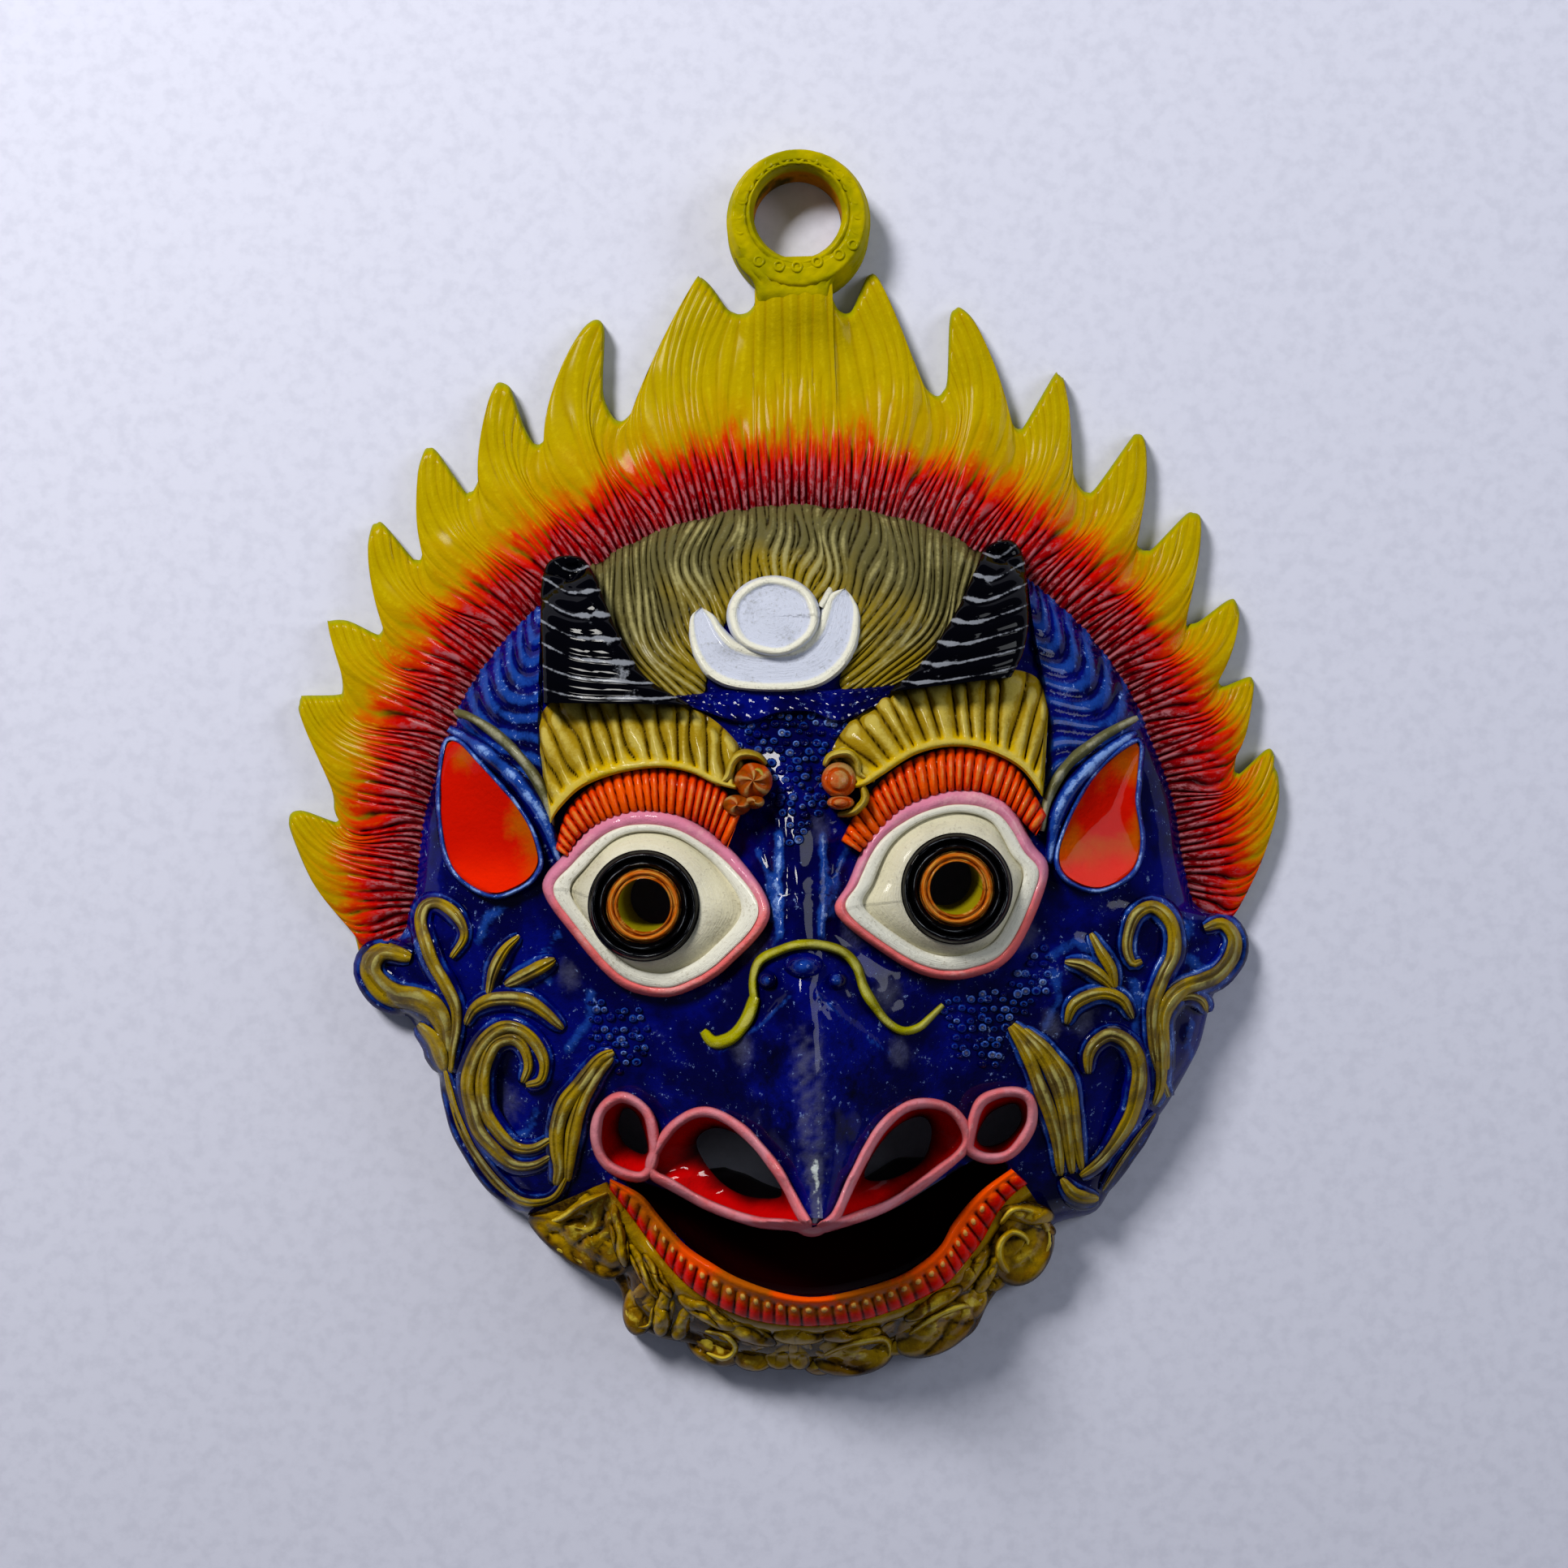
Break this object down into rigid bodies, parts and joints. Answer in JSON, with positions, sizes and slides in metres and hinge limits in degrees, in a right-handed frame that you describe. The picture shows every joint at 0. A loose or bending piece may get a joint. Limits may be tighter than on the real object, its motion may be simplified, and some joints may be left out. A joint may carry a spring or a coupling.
{
  "type": "cast wall mask",
  "caption": "Cast horned bird mask with a hooked beak, open mouth, flame crown, cheek scrolls and a hanging ring, painted in bright enamel.",
  "frame": {"origin": "middle of the mask's outline, on its flat back plane", "axes": "+X to the right as the face is seen from the front, +Y up the face to the hanging ring, +Z out of the face towards the beak"},
  "size_m": [0.2434, 0.3011, 0.0666],
  "materials": {
    "blue_enamel": "glossy deep blue enamel, worn lighter on high edges",
    "flame_enamel": "satin yellow shading through orange to dark red at the head",
    "gold_enamel": "olive gold paint with dark washed grooves",
    "white_enamel": "glossy off-white enamel",
    "black_enamel": "glossy black enamel",
    "red_enamel": "glossy red-orange enamel",
    "pink_enamel": "glossy pink enamel"
  },
  "bodies": {
    "root": {"mask": "blue_enamel"}
  },
  "joints": []
}
